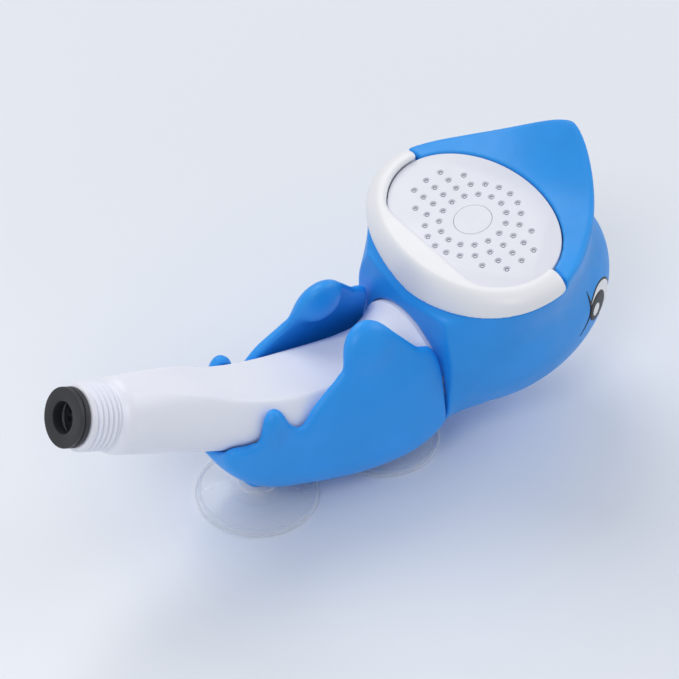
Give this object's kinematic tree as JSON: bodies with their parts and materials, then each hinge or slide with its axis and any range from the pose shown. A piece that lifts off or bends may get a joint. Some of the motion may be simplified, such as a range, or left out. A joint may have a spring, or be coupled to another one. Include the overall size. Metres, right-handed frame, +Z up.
{
  "type": "hand shower with suction cradle",
  "caption": "Child's hand shower shaped like a dolphin: the handset lies in a cradle on suction cups and lifts out, with an oval spray plate in its open mouth.",
  "frame": {"origin": "on the surface that the suction cups stand on, under the middle of the object's length and width", "axes": "+X from the water inlet to the head, +Y across to the object's left side, +Z up"},
  "size_m": [0.2103, 0.0858, 0.1033],
  "materials": {
    "blue_plastic": "satin",
    "soft_blue_plastic": "soft satin",
    "white_plastic": "satin",
    "warm_white_plastic": "satin",
    "black_rubber": "matt",
    "pale_silicone": "matt",
    "clear_vinyl": "clear gloss",
    "steel": "plain"
  },
  "bodies": {
    "holder": {"cradle": "blue_plastic", "rear_suction_cup": "clear_vinyl", "front_suction_cup": "clear_vinyl", "rear_cup_screw": "steel", "front_cup_screw": "steel", "left_flipper": "soft_blue_plastic", "right_flipper": "soft_blue_plastic"},
    "handset": {"handle_body": "white_plastic", "inlet_washer": "black_rubber", "inlet_screen": "white_plastic", "neck_nut": "white_plastic", "neck_seal": "black_rubber", "head_shell": "blue_plastic", "upper_jaw": "blue_plastic", "lower_jaw": "warm_white_plastic", "spray_plate": "white_plastic", "nozzle_mat": "pale_silicone", "chamber_seal": "black_rubber", "water_chamber": "white_plastic", "plate_screw": "steel", "centre_cap": "white_plastic"}
  },
  "joints": [
    {"name": "handset_lift", "type": "slide", "parent": "holder", "child": "handset", "axis": [0, 0, 1], "range_m": [0, 0.1], "deforming": ["left_flipper", "right_flipper"]}
  ]
}
